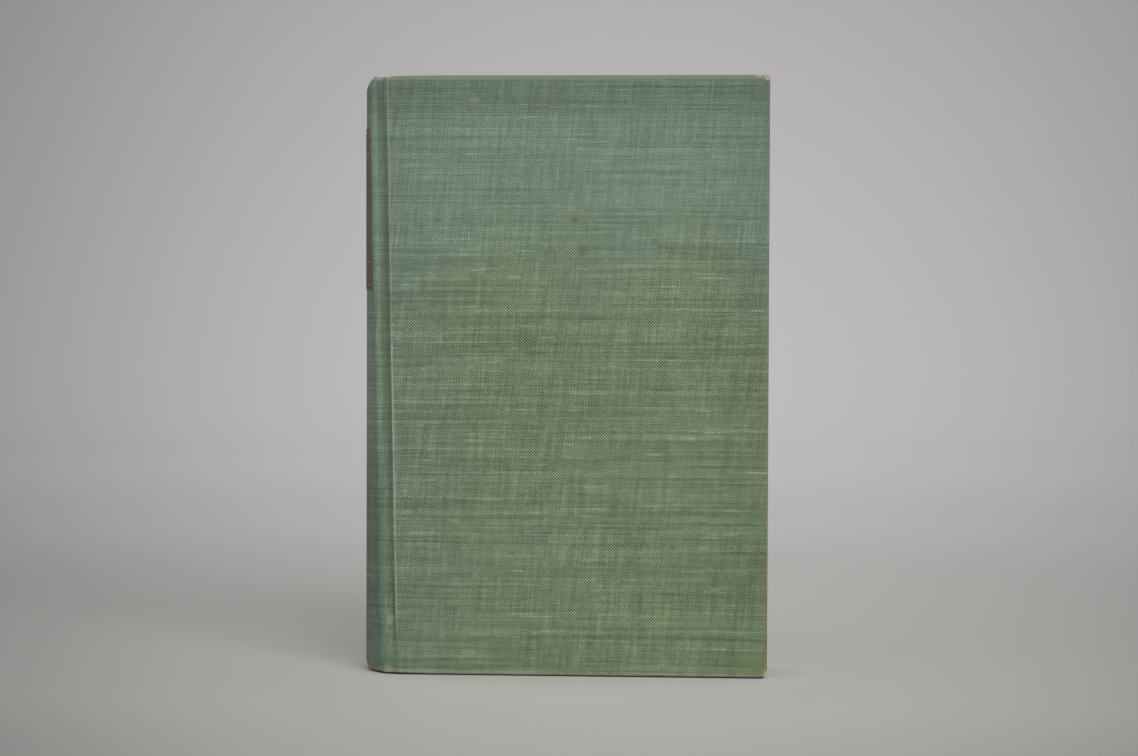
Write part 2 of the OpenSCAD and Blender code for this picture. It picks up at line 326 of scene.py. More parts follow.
# The sewing: linen thread round the folds at five stations, sunk in kerfs sawn across the spine.
# Over it lie open starched gauze, which reaches on to both boards and carries them, and kraft.
def linen():
    made = Finish("linen_thread", 0.85, 0.2)
    where, (_, y, z) = made.place()
    twist = (y * 7.0 + z * 9.0).maths("SINE")
    colour = where.cloud(1.2).mix(paint(226, 216, 190), paint(196, 180, 146))
    return made.give(colour, twist, 0.06)


def gauze():
    made = Finish("mull_gauze", 0.9, 0.15)
    where, (x, y, z) = made.place()
    radians_per_mm = 5.2
    warp, weft = ((v * radians_per_mm).maths("SINE") for v in (x + y, z))
    mesh = warp.maths("MAXIMUM", weft)
    open_part = mesh.fade(-0.2, 0.5, 1.0, 0.0)
    size = where.cloud(5).fade(0.3, 0.7)
    colour = size.mix(paint(206, 192, 158), paint(188, 168, 124))
    colour = colour.tint(open_part * 0.55, 120, 96, 62)
    return made.give(colour, mesh, 0.12, 0.8)


def kraft():
    made = Finish("kraft_lining", 0.8, 0.3)
    where, (x, y, z) = made.place()
    fibre = where.cloud(1.0, 3.0, x=x * 4, y=y * 4, z=z / 2)
    glue = where.cloud(9).fade(0.45, 0.7)
    colour = fibre.mix(paint(158, 118, 76), paint(132, 92, 54))
    colour = colour.tint(glue * 0.5, 104, 66, 34)
    return made.give(colour, fibre, 0.05)


nodes["sewing_thread"].data.materials[0] = linen()
mull = gauze()
for name in ("mull_spine", "front_mull_flap", "back_mull_flap"):
    nodes[name].data.materials[0] = mull
nodes["spine_lining"].data.materials[0] = kraft()
for side in ("front", "back"):
    flap = nodes[side + "_mull_flap"]


# Head and tail bands: cotton cloth with woven stripes, rolled over a cord and glued to the gauze
# so that its bead covers the ends of the gatherings. Dust has greyed the top one.
def striped_cotton(name, dust):
    made = Finish(name, 0.8, 0.25)
    where, (_, y, _) = made.place()
    stripe = (y * 2.1).maths("SINE").fade(-0.25, 0.25)
    rib = (y * 16.0).maths("SINE")
    worn = where.cloud(2.0, 3.0)
    colour = stripe.mix(paint(196, 178, 134), paint(96, 108, 74))
    colour = colour.tint(worn.fade(0.4, 0.75) * 0.5, 176, 160, 124)
    colour = colour.tint(worn * dust, 120, 108, 88)
    return made.give(colour, rib, 0.05, 0.8)


for name, dust in (("head_band", 0.7), ("tail_band", 0.35)):
    nodes[name].data.materials[0] = striped_cotton(name + "_cloth", dust)


# The boards: dense grey-brown millboard cut 0.4 mm inside the case's edge. The corners at the
# fore-edge are knocked round by use, and those beside the joint stand in a little at both ends.
edge_r, fold_r, turn_in = 0.6, 0.28, 15.0
board_in, board_out, turn_h = 13.0, 15.6, 12.6
corner_low, corner_high = 2.6, 1.5
lift_head, lift_tail, lift_run = 0.35, 0.5, 6.0
sides = {"front": -1, "back": 1}


def lift(past_joint, top):
    """How far a cover's end stands in from the case's height, at a distance past the joint."""
    return (lift_head if top else lift_tail) * exp(-max(past_joint, 0.0) / lift_run)


def spread(first, last, count):
    return [first + (last - first) * i / (count - 1) for i in range(count)]


def millboard():
    made = Finish("millboard", 0.9, 0.2)
    where, (_, y, _) = made.place()
    fibre = where.cloud(0.5, 3.0)
    layer = (y * 9.0).maths("SINE") * 0.12
    fleck = where.cloud(0.9, 0.0).fade(0.66, 0.74)
    colour = (fibre + layer).mix(paint(150, 134, 108), paint(178, 160, 128))
    colour = colour.tint(fleck * 0.6, 92, 78, 60)
    return made.give(colour, fibre, 0.08)


def board_outline(inset):
    """Corners of a board's outline, seen from outside, set in from the case's edge."""
    low, high = max(corner_low - inset, 0.2), max(corner_high - inset, 0.2)
    line = []
    for x in spread(0, 1, 24)[:-1]:
        q = inset + x * x * (fore_x - edge_x(0) - 2 * inset - low)
        line.append((edge_x(0) + q, lift(q, False) + inset))
    for a in spread(-pi / 2, 0, 8):
        line.append((fore_x - inset - low * (1 - cos(a)), inset + low * (1 + sin(a))))
    for a in spread(0, pi / 2, 8):
        z = board_h - inset - high * (1 - sin(a))
        line.append((fore_x - inset - high * (1 - cos(a)), z))
    for x in spread(1, 0, 24)[1:]:
        q = inset + x * x * (fore_x - edge_x(board_h) - 2 * inset - high)
        line.append((edge_x(board_h) + q, board_h - lift(q, True) - inset))
    return line


board_finish = millboard()
for side, sign in sides.items():
    levels = [(0.55, board_in), (0.42, board_in + 0.15), (0.42, board_out - 0.2), (0.62, board_out)]
    rings = [[(x, sign * h, z) for x, z in board_outline(inset)] for inset, h in levels]
    count = len(rings[0])
    faces = grid_faces(len(rings), count, closed=True)
    points = [p for ring in rings for p in ring]
    faces += [tuple(range(count)), tuple(range(len(points) - count, len(points)))]
    board = mesh_piece(side + "_millboard", points, faces, board_finish, side + "_cover", "board")
    board.data.shade_flat()
    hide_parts(side + "_board")


# The card in the spine: a strip of thin card glued inside the cloth between the joints. Its ends
# are crushed inwards with the cloth where the book was pulled off shelves.
card_out, card_t = 0.42, 0.5
crushed_head, crushed_tail = (4.4, 3.5), (3.8, 1.5)


def crush(z, along):
    """How far the spine's ends are rolled in. along is 0 at the crown, 1 at a crest, 2 past it."""
    top = z > board_h / 2
    reach, most = crushed_head if top else crushed_tail
    from_end = board_h - lift(0, True) - z if top else z - lift(0, False)
    near = min(0.985, max(0.0, 1 - max(from_end, 0.0) / reach))
    part = 1 - 0.15 * along**2 if along < 1 else 0.85 * (1 - smooth(along, 1, 2))
    return most * (1 - sqrt(1 - near * near)) * part


def spine_point(z, depth, share):
    """A point at a depth below the spine's outside, share -1 to 1 from crest to crest."""
    radius, centre, end = arc_of(z)
    inner = radius - depth - crush(z, abs(share))
    return centre - inner * cos(share * end), inner * sin(share * end)


def slab(outer, inner):
    """Points and faces of a closed solid between two grids of as many rows and columns."""
    rows, columns = len(outer), len(outer[0])
    points = [p for row in outer for p in row] + [p for row in inner for p in row]
    back = rows * columns
    faces = grid_faces(rows, columns) + [f[::-1] for f in grid_faces(rows, columns, back)]
    rim = list(range(columns)) + [i * columns + columns - 1 for i in range(1, rows)]
    rim += [(rows - 1) * columns + j for j in reversed(range(columns - 1))]
    rim += [i * columns for i in reversed(range(1, rows - 1))]
    for a, b in zip(rim, rim[1:] + rim[:1]):
        faces.append((a, back + a, back + b, b))
    return points, faces


def thin_card():
    made = Finish("spine_card", 0.85, 0.25)
    where, _ = made.place()
    fibre = where.cloud(0.7, 3.0)
    colour = fibre.mix(paint(172, 150, 112), paint(146, 122, 86))
    return made.give(colour, fibre, 0.05)


heights = [1.2, 2, 3, 4, 5.2] + spread(8, board_h - 8, 40)
heights += [board_h - z for z in (5.2, 4, 3, 2, 1)]
reach = spread(-0.96, 0.96, 41)
faces_of_card = [
    [[(*spine_point(z, depth, a), z) for a in reach] for z in heights]
    for depth in (card_out, card_out + card_t)
]
card = mesh_piece("spine_card", *slab(*faces_of_card), thin_card(), "page_block", "inlay_card")
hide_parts("spine_inlay")


# The case cloth: one piece of plain-weave cotton, dyed green and starched, drawn over both boards,
# the joints and the spine, and folded in over the edges. Light has faded the upper third of the
# front bluish and the rest yellowish, and rubbing has bared the threads at ridges and corners.
# A painted highlight lies on the crest, painted light on the groove's wall and the spine, and
# painted shade in the groove and under the tail edge.
crest_r, floor_h, foot_r, split = 2.21, 13.6, 0.35, radians(102)
cloth_sheet_t, joint_turn_t, spine_turn_t = 0.3, 0.65, 1.34
groove_end, wall_steps, rim_w = 13, 10, 3
lean = edge_x(0) - edge_x(board_h)
ways = {False: (0, 1), True: (board_h, -1)}


def joint_line(z):
    """The cloth's outside from the split on the crest through the groove to the board's face."""
    b, start = wall_of(crest_r, floor_h, groove_r)
    x0, x1 = crest_x(z), edge_x(z)
    near_head = smooth(z, 172, 190)
    narrow = 1 - 0.35 * near_head
    line = [
        (x0 - crest_r * cos(c), crest_cy + crest_r * sin(c))
        for c in spread(split, pi / 2 + b, 7)
    ]
    for c in spread(pi / 2 + b, pi / 2, 5)[1:]:
        across, up = groove_r * cos(c), groove_r * (1 - sin(c))
        line.append((x0 + start + across, floor_h + up))
    line = [(x0 + max(x - x0, 0) * narrow + min(x - x0, 0), h) for x, h in line]
    foot = [
        (x1 - foot_r + foot_r * cos(c), floor_h + foot_r * (1 + sin(c)))
        for c in spread(-pi / 2, 0, 5)
    ]
    foot += [(x1, h) for h in spread(floor_h + foot_r, cover_h - edge_r, 6)[1:]]
    tilt = (0.45 + 0.9 * near_head) / (cover_h - edge_r - floor_h)
    line += [(x - tilt * (cover_h - edge_r - h), h) for x, h in foot]
    for c in spread(pi, pi / 2, 7)[1:]:
        line.append((x1 + edge_r * (1 + cos(c)), cover_h - edge_r * (1 - sin(c))))
    return line


def lengths(line):
    total = [0.0]
    for a, b in zip(line, line[1:]):
        total.append(total[-1] + dist(a, b))
    return total


def bridged(z):
    """The same line with the groove run out towards the tail, its lengths and its inner layer."""
    deep = joint_line(z)
    run = lengths(deep)
    flat = 0.95 * (1 - smooth(z, 8.0, 24.0))
    (xa, ha), (xb, hb) = deep[0], deep[-1]
    line = []
    for (x, h), s in zip(deep, run):
        u = s / run[-1]
        to_x, to_h = xa + (xb - xa) * u, ha + (hb - ha) * u - 0.25 * sin(pi * u)
        line.append((x + (to_x - x) * flat, h + (to_h - h) * flat))
    inner = []
    for i in range(len(line)):
        (x0, h0), (x1, h1) = line[max(i - 1, 0)], line[min(i + 1, len(line) - 1)]
        size = dist((x0, h0), (x1, h1))
        x, h = line[i]
        inner.append((x + joint_turn_t * (h1 - h0) / size, h - joint_turn_t * (x1 - x0) / size))
    xe, he = edge_x(z) + edge_r, turn_h
    for i in range(groove_end, len(line)):
        u = (i - groove_end) / (len(line) - 1 - groove_end)
        x, h = inner[groove_end - 1]
        inner[i] = (x + (xe - x) * u, h + (he - h) * u)
    return line, [s - run[-1] for s in run], inner


def over_edge(thick):
    """Stations over an edge: how far in from it, how deep below the face, how far travelled."""
    outer, inner = min(edge_r, thick / 2), min(fold_r, thick / 2)
    quarter = spread(0, pi / 2, 5)
    steps = [(rim_w, 0.0), (1.6, 0.0)]
    steps += [(outer * (1 - sin(a)), outer * (1 - cos(a))) for a in quarter]
    steps += [(0.0, outer + (thick - outer - inner) * i / 3) for i in (1, 2)]
    steps += [(inner * (1 - cos(a)), thick - inner * (1 - sin(a))) for a in quarter]
    steps += [(1.2, thick), (square + 0.6, thick), (9.0, thick), (turn_in, thick)]
    start = steps[2][0]
    travel = [start - inset for inset, _ in steps[:3]]
    for a, b in zip(steps[2:], steps[3:]):
        travel.append(travel[-1] + dist(a, b))
    return [(inset, depth, start, far) for (inset, depth), far in zip(steps, travel)]


fractions = [0.004, 0.01, 0.02, 0.035, 0.055] + spread(0.08, 1, 42)
joint_count = len(joint_line(0))
thin_count, middle_h, body_from = joint_count - wall_steps, 190, 10.2
ends = [0, 0.8, 1.8, 3.2, 5.2, 7.6]
rows = [d / middle_h for d in ends] + spread(body_from / middle_h, 1 - body_from / middle_h, 80)
rows += [1 - d / middle_h for d in reversed(ends)]


def column_end(j, top):
    """How far past the joint a cover's column is, and the height of the cloth's end there."""
    q = 0.0
    if j >= joint_count:
        q = edge_r + fractions[j - joint_count] * (fore_x - rim_w - edge_x(0) - edge_r)
    base, way = ways[top]
    return base + way * lift(q, top)


def column_point(j, z):
    """Outer and inner point of a cover's column at a height, with its place across the weave."""
    if j < joint_count:
        line, run, inner = bridged(z)
        return line[j], inner[j], run[j]
    across = fractions[j - joint_count] * (fore_x - rim_w - edge_x(z) - edge_r)
    x = edge_x(z) + edge_r + across
    return (x, cover_h), (x, turn_h), across


def border_point(j, top, inset, depth, start, far):
    """A point of the cloth where it goes over the head or the tail and is turned in."""
    end, (_, way) = column_end(j, top), ways[top]
    z = end + way * inset
    outer, inner, e = column_point(j, z)
    thick = joint_turn_t if j < thin_count else cover_h - turn_h
    share = depth / thick
    x = outer[0] + (inner[0] - outer[0]) * share
    h = outer[1] + (inner[1] - outer[1]) * share
    return min(x, fore_x - inset), h, z, e, end + way * (start - far)


def cover_cloth_mesh():
    """Points (x, distance from the middle, z), weave places and faces of a cover's cloth."""
    columns = joint_count + len(fractions)
    points, weave, faces = [], [], []

    def add(x, h, z, e, t):
        points.append((x, h, z))
        weave.append((edge_x(z) + edge_r + e, t, e))

    for w in rows:
        for j in range(columns):
            low, high = column_end(j, False) + rim_w, column_end(j, True) - rim_w
            z = low + (high - low) * w
            (x, h), _, e = column_point(j, z)
            add(x, h, z, e, z)
    faces += grid_faces(len(rows), columns)
    first = len(points)
    turns = spread(0, 1, 9)
    plans = {thick: over_edge(thick) for thick in (joint_turn_t, cover_h - turn_h)}
    count = len(plans[joint_turn_t])
    around = [("edge", j, False) for j in range(columns)]
    around += [("corner", a, False) for a in turns]
    around += [("side", w, None) for w in rows]
    around += [("corner", a, True) for a in reversed(turns)]
    around += [("edge", j, True) for j in reversed(range(columns))]
    for kind, at, top in around:
        thin = kind == "edge" and at < thin_count
        for inset, depth, start, far in plans[joint_turn_t if thin else cover_h - turn_h]:
            if kind == "edge":
                add(*border_point(at, top, inset, depth, start, far))
                continue
            base, way = ways[bool(top)]
            if kind == "side":
                z = min(max(rim_w + (board_h - 2 * rim_w) * at, inset), board_h - inset)
                x, t, s = fore_x - inset, z, fore_x - start + far
            else:
                r = corner_high if top else corner_low
                a = at * pi / 2
                out = max(r - inset, 0.0)
                more = inset - r if inset > r else 0.0
                x = fore_x - r - more + out * sin(a)
                z = base + way * (r + more - out * cos(a))
                s = fore_x - r + (r - start + far) * sin(a)
                t = base + way * (r - (r - start + far) * cos(a))
            add(x, cover_h - depth, z, s - edge_x(z) - edge_r, t)
    faces += grid_faces(len(around), count, first)
    return points, weave, faces


def spine_columns(z):
    """Outer and inner points of the spine's cloth, from split to split, and places along it."""
    radius, centre, end = arc_of(z)
    plan = [("crest", -c) for c in spread(split, end, 13)]
    plan += [("arc", share) for share in spread(-1, 1, 45)[1:-1]]
    plan += [("crest", c) for c in spread(end, split, 13)]
    outer, inner = [], []
    for kind, at in plan:
        sign = -1 if at < 0 else 1
        share = at if kind == "arc" else sign
        press = crush(z, abs(at) if kind == "arc" else 1 + (abs(at) - end) / (split - end))
        across, up = press * cos(share * end), -press * sin(share * end)
        fold = smooth(1 - abs(share), 0.0, 0.1)
        turned = joint_turn_t + (spine_turn_t - joint_turn_t - 0.2 * press) * fold
        for depth, line in ((0, outer), (turned, inner)):
            if kind == "arc":
                r, a = radius - depth, share * end
                x, y = centre - r * cos(a), r * sin(a)
            else:
                r, a = crest_r - depth, abs(at)
                x, y = crest_x(z) - r * cos(a), sign * (crest_cy + r * sin(a))
            line.append((x + across, y + up))
    run = lengths(outer)
    return outer, inner, run, [dist(a, b) for a, b in zip(outer, inner)]


def spine_cloth_mesh():
    """The same for the spine's cloth, whose weave also says how far it is from the crown."""
    points, weave, faces = [], [], []
    columns = len(spine_columns(0)[0])
    to_split = lengths(joint_line(0))[-1]

    def add(outer, inner, run, j, share, z, t):
        x = outer[j][0] + (inner[j][0] - outer[j][0]) * share
        y = outer[j][1] + (inner[j][1] - outer[j][1]) * share
        points.append((x, y, z))
        weave.append((edge_x(z) + edge_r - to_split - run[j], t, run[j] - run[-1] / 2))

    low, high = lift(0, False) + rim_w, board_h - lift(0, True) - rim_w
    for w in rows:
        z = low + (high - low) * w
        outer, inner, run, _ = spine_columns(z)
        for j in range(columns):
            add(outer, inner, run, j, 0, z, z)
    faces += grid_faces(len(rows), columns)
    for top, (base, way) in ways.items():
        first = len(points)
        end = base + way * lift(0, top)
        thick = spine_columns(end + way * 6)[3]
        for j in range(columns):
            for inset, depth, start, far in over_edge(thick[j]):
                z = end + way * inset
                outer, inner, run, _ = spine_columns(z)
                add(outer, inner, run, j, depth / thick[j], z, end + way * (start - far))
        faces += grid_faces(columns, len(over_edge(1.0)), first)
    return points, weave, faces


def thicken(piece, outwards, thickness):
    """Turns the cloth's face outwards and gives it its thickness, inwards from that face."""
    shape = bmesh.new()
    shape.from_mesh(piece.data)
    far = max(shape.faces, key=lambda f: f.calc_center_median().dot(outwards))
    if far.normal.dot(outwards) < 0:
        bmesh.ops.reverse_faces(shape, faces=shape.faces)
    shape.to_mesh(piece.data)
    shape.free()
    solid = piece.modifiers.new("thickness", "SOLIDIFY")
    solid.thickness, solid.offset = thickness / 1000, -1
    ready = piece.evaluated_get(bpy.context.evaluated_depsgraph_get())
    mesh = bpy.data.meshes.new_from_object(ready)
    piece.modifiers.clear()
    piece.data = mesh


def woven(made):
    """The weave: place on the cloth, threads' tone, weft over warp, crowns and streaks."""
    where, (s, t, e) = made.place("weave")
    pitch, slant = 0.482, radians(5.4)
    drift = where.cloud(45, 1.0, x=s, y=t, z=3.0)
    warp = (s - t * tan(slant)) / pitch + drift * 1.5
    weft = t / pitch + drift * 2.0
    up, over = ((v * pi).maths("SINE") for v in (warp, weft))
    cross = up * over
    row, line = weft.maths("FLOOR"), warp.maths("FLOOR")
    slub = where.cloud(1.0, 2.0, 0.5, x=s / 20, y=row * 7.31, z=0.0)
    long = where.cloud(1.0, 1.0, 0.5, x=s / 75, y=row * 3.17, z=6.0)
    fine = where.cloud(1.0, 1.0, 0.5, x=s / 1.6, y=row * 3.77, z=9.0)
    rib = where.cloud(1.0, 2.0, 0.5, x=line * 5.17, y=t / 17, z=4.0)
    group = where.cloud(1.0, 1.0, 0.5, x=s / 40, y=t / 1.7, z=14.0)
    clear = where.cloud(1.0, 2.0, 0.5, x=s / 5, y=t / 2.2, z=17.0)
    streak = slub.fade(0.6, 0.76) * 0.6 - slub.fade(0.42, 0.24) * 0.45
    on_weft = cross.fade(0.16, -0.16)
    tone = streak * (0.3 + on_weft * 0.6) + (long - 0.5) * 1.1 + (fine - 0.5) * 0.7
    tone = tone + (group - 0.5) * 0.06 + (rib - 0.5) * (1.55 - on_weft * 0.9) + 0.035
    check = (on_weft * 2 - 1) * clear.fade(0.3, 0.7, 0.22, 0.76)
    return where, s, t, e, tone, check, abs(cross), streak


def spot(where, x, y, place, size):
    """1 on a mark with a ragged edge on the cloth, at a place and of a size across and up."""
    across, up = (x - place[0]) / size[0], (y - place[1]) / size[1]
    far = (across * across + up * up).maths("SQRT")
    ragged = where.cloud(0.9, 3.0, x=x, y=y, z=8.0)
    return (far + (ragged - 0.5) * 1.1).fade(1.0, 0.5)


# Marks on the covers: place, size, colour and strength. A worn corner is a bare tip with frayed
# pale cloth round it.
stain, rubbed, grey_dust, bare = (96, 88, 62), (150, 156, 134), (156, 160, 148), (140, 96, 54)
frayed, fleck = (196, 180, 136), (190, 190, 160)
marks_of = {
    "front": [
        ((6.2, 139.9), (2.6, 1.7), stain, 0.35),
        ((6.0, 138.6), (1.0, 0.8), stain, 0.45),
        ((3.6, 149.7), (1.7, 1.1), stain, 0.5),
        ((29.8, 143.2), (1.5, 1.0), stain, 0.4),
        ((13.3, 104.6), (0.35, 0.35), (190, 150, 92), 0.9),
        ((-17.3, 105.5), (0.3, 0.3), (180, 150, 100), 0.8),
        ((14.4, 136.7), (0.4, 0.35), fleck, 0.6),
        ((-40.6, 110.3), (0.9, 1.1), rubbed, 0.6),
        ((-29.4, 188.9), (2.4, 1.2), rubbed, 0.4),
        ((-30.5, 7.7), (3.4, 1.2), rubbed, 0.5),
        ((-28.9, 33.1), (1.2, 0.9), rubbed, 0.6),
        ((13.3, 26.0), (1.4, 0.9), rubbed, 0.6),
        ((49.9, 29.0), (1.8, 1.0), rubbed, 0.45),
        ((62.0, 3.4), (5.5, 3.2), (100, 120, 66), 0.35),
        ((67.0, 1.2), (1.3, 1.6), (196, 168, 128), 0.9),
        ((63.4, 196.7), (2.2, 0.7), frayed, 0.4),
        ((66.5, 196.6), (1.8, 1.7), frayed, 0.95),
        ((66.4, 196.9), (0.8, 0.9), bare, 0.9),
        ((-58.3, 18.0), (2.0, 2.0), grey_dust, 0.55),
        ((-59.0, 197.0), (3.0, 1.2), frayed, 0.6),
        ((-59.6, 1.4), (2.8, 1.9), (158, 148, 122), 0.6),
    ],
    "back": [
        ((20, 60), (2.2, 3.0), stain, 0.4),
        ((-12, 150), (1.4, 1.0), rubbed, 0.5),
        ((34, 120), (5.0, 1.0), rubbed, 0.4),
        ((-36, 88), (0.5, 0.5), fleck, 0.7),
        ((48, 178), (1.6, 1.2), stain, 0.45),
        ((66.4, 196.6), (2.0, 1.8), frayed, 0.9),
        ((66.6, 197.0), (0.8, 0.8), bare, 0.9),
        ((66.8, 0.8), (2.2, 1.7), frayed, 0.9),
        ((67.0, 0.4), (1.0, 0.9), bare, 0.9),
        ((-59.0, 197.0), (2.6, 1.0), frayed, 0.5),
    ],
}


def book_cloth(name, side):
    made = Finish(name, 0.86, 0.22)
    where, s, t, e, tone, check, crown, streak = woven(made)
    mottle = where.cloud(26, 3.0, 0.6, x=s, y=t, z=20.0)
    patch = where.cloud(9, 3.0, 0.6, x=s, y=t, z=31.0)
    small = where.cloud(2.5, 2.0, 0.6, x=s, y=t, z=41.0)
    x = e + edge_x(0) + edge_r - t * (lean / board_h)
    # The fade from yellow-green to blue-green, and the darker ends and edges.
    upper = t.fade(136.6, 137.4) * 0.3 + t.fade(112, 168) * 0.7
    blue = upper * 0.64 + e.fade(36, 0) * 0.34 + x.fade(48, 66) * t.fade(70, 150) * 0.22
    blue = blue + (mottle - 0.5) * 0.8 + (small - 0.5) * 0.3 + 0.22
    blue = blue - x.fade(40, 62) * t.fade(110, 60) * 0.3
    colour = blue.fade(0.0, 1.0).mix(paint(117, 132, 102), paint(117, 137, 119))
    dark = t.fade(60, 0) * 0.03 + t.fade(178, 192) * 0.25 + x.fade(38, 64) * 0.12
    dark = dark + e.fade(30, 0) * 0.08 - t.fade(137, 150) * 0.04 + 0.02
    tone = tone + (patch - 0.5) * 0.22 + (small - 0.5) * 0.05
    calm = t.fade(110, 165, 1.1, 0.77)
    if side:
        # The rounded crest beside the groove: a lighter bluish band, partly painted highlight and
        # partly wear. The groove's wall: painted light on its side turned from the lamp.
        crest = e.fade(-9.9, -9.0) * e.fade(-5.4, -7.4)
        calm = calm * (crest * 0.6 + 1)
        colour = colour.tint(crest * 0.75, 128, 157, 156)
        # Painted light on the groove's wall, which faces away from the lamp.
        wall = e.fade(-0.5, -0.9) * e.fade(-3.4, -2.6) * t.fade(18, 40)
        colour = colour.tint(wall * 0.7, 168, 186, 168)
    else:
        # The spine is greyed where its dye faded, and the grey is lighter: painted light on the
        # side turned away from the lamp.
        grey = abs(e).fade(15.5, 12) * t.fade(30, 110, 0.6, 0.9)
        colour = colour.tint(grey, 138, 146, 138)
        teal = abs(e).band(15.3, 3.8) * t.fade(184, 150, 0.2, 1.0)
        colour = colour.tint(teal * 0.55, 112, 139, 126)
        # Painted light: the spine is lightened overall, and it is darker towards the tail.
        dark = dark - 0.15 + t.fade(84, 52) * 0.29
        tone = tone * 0.75
    tone = tone * calm - dark
    colour = colour.dim(tone.maths("EXPONENT") * (check * calm + 1))
    if side:
        # A painted highlight along the crest's top, strongest on the thread crowns; bared threads
        # on the ridge; and dirt darkened with painted shade in the groove between them.
        painted_crest_highlight = e.band(-8.7, 1.9) * t.fade(6, 30) * (crown * 0.55 + 0.15)
        colour = colour.tint(painted_crest_highlight, 174, 192, 184)
        worn_run = t.fade(10, 26) * t.fade(128, 108, 0.5, 1.0)
        ridge = e.band(-0.45, 0.75) * worn_run * patch.fade(0.1, 0.5)
        ridge = ridge * small.fade(0.2, 0.6, 0.5, 1.0)
        colour = colour.tint(ridge * (0.6 + crown * 0.4), 206, 209, 194)
        # Dirt and painted shade in the groove.
        groove_dirt_and_shade = e.fade(-2.4, -3.2) * e.fade(-7.4, -4.6) * t.fade(8, 26) * patch.fade(0.1, 0.5)
        colour = colour.tint(groove_dirt_and_shade * t.fade(60, 120, 0.2, 0.42), 100, 101, 89)
        # The rubbed and dusty edges: head, fore-edge, tail and the end beside the spine, with a
        # painted shadow along the underside of the tail edge.
        over_head = t - (board_h - 0.75)
        edge = over_head.fade(4.4, 3.6)
        colour = colour.tint(over_head.fade(-1.0, -0.5) * edge * 0.45, 142, 152, 134)
        colour = colour.tint(over_head.fade(0.2, 0.5) * edge * 0.5, 104, 108, 98)
        fore = x.fade(fore_x - 0.9, fore_x - 0.4) * x.fade(fore_x + 3.7, fore_x + 2.9)
        fore = fore * patch.fade(0.2, 0.5)
        colour = colour.tint(fore * 0.4, 136, 122, 102)
        tail = t.band(1.2, 0.8) * small.fade(0.3, 0.6)
        colour = colour.tint(tail * 0.55, 164, 166, 144)
        # Painted shadow: the tail edge's underside, darkened almost to black above the floor.
        under = t.fade(0.75, 0.35) * t.fade(-3.6, -2.6)
        colour = colour.tint(under * 0.85, 40, 43, 36)
        head_end = t.fade(194.6, 196.2) * e.fade(3.0, -0.5) * small.fade(0.2, 0.5)
        colour = colour.tint(head_end * 0.55, 168, 162, 138)
        for place, size, tint, strength in marks_of[side]:
            colour = colour.tint(spot(where, x, t, place, size) * strength, *tint)
    else:
        line = abs(e).band(12.6, 0.4) * t.fade(176, 188) * small.fade(0.3, 0.5)
        colour = colour.tint(line * 0.5, 150, 154, 144)
        rub = t.fade(194.6, 196.2) * t.fade(199.6, 198.2) + t.fade(3.4, 1.0) * t.fade(-3.2, -1.8)
        colour = colour.tint(rub * small.fade(0.2, 0.55) * 0.62, 172, 164, 136)
    return made.give(colour, crown + streak * 0.3, 0.09, 0.7)


def bend(piece, side, h, span):
    """Bakes a sheet's placement into its mesh. The flex over a joint, a span before the board's
    edge up to that edge, is worked out but not applied.
    """
    slope = lean / board_h
    end = Vector((edge_x(0), sides[side] * h, 0)) / 1000
    start = end - Vector((1, 0, slope)) * span / (1 + slope * slope) / 1000
    if side == "front":
        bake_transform(piece)
    else:
        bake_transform(piece)


finishes = {side: book_cloth(side + "_book_cloth", side) for side in sides}
points, weave, faces = cover_cloth_mesh()
joint_span = 2.7
for side, sign in sides.items():
    placed = [(x, sign * h, z) for x, h, z in points]
    name = side + "_case_cloth"
    cloth = mesh_piece(name, placed, faces, finishes[side], None, "book_cloth", weave=weave)
    thicken(cloth, Vector((0, sign, 0)), cloth_sheet_t)
    bend(cloth, side, cover_h, joint_span)
    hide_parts(side + "_cloth")
points, weave, faces = spine_cloth_mesh()
finish = book_cloth("spine_book_cloth", None)
spine = mesh_piece("spine_case_cloth", points, faces, finish, None, "spine_cloth", weave=weave)
thicken(spine, Vector((-1, 0, 0)), cloth_sheet_t)
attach(spine, "page_block")
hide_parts("spine_cloth")


# Where the cloth is worn through, at the corners and the ends of the spine, frayed undyed yarns
# stand up round the broken edge, and at the corners the fibrous tip of the board shows.
def frayed_yarn():
    made = Finish("frayed_yarn", 0.95, 0.1)
    _, (pale, _, _) = made.place("tint")
    return made.give(pale.mix(paint(128, 92, 56), paint(214, 200, 164)))


yarn_rings, yarn_sides = 6, 4


def yarn(start, heading, length, radius, dice):
    """Rings of a curled yarn that tapers to nothing."""
    place, way = Vector(start), Vector(heading).normalized()
    curl = Vector([dice.gauss(0, 0.55) for _ in range(3)])
    rings = []
    for i in range(yarn_rings):
        side = way.orthogonal().normalized()
        other, r = way.cross(side), radius * (1 - 0.85 * (i / (yarn_rings - 1)) ** 1.5)
        turns = [tau * k / yarn_sides for k in range(yarn_sides)]
        rings += [place + (side * cos(a) + other * sin(a)) * r for a in turns]
        place = place + way * (length / (yarn_rings - 1))
        way = (way + curl * 0.3 + Vector([dice.gauss(0, 0.12) for _ in range(3)])).normalized()
    return rings


def tuft(name, body, count, root, heading, length, pale, seed):
    """Frayed yarns: functions draw their roots and headings, pale has their mean and spread."""
    dice = random.Random(seed)
    points, tints, faces = [], [], []
    for _ in range(count):
        start = root(dice)
        first = len(points)
        way, long = heading(dice, start), dice.uniform(*length)
        points += yarn(start, way, long, dice.uniform(0.035, 0.085), dice)
        faces += grid_faces(yarn_rings, yarn_sides, first, closed=True)
        faces.append(tuple(range(first, first + yarn_sides)))
        tints += [(min(1.0, max(0.0, dice.gauss(*pale))), 0, 0)] * yarn_rings * yarn_sides
    return mesh_piece(name, points, faces, yarn_finish, body, "book_cloth", tint=tints)


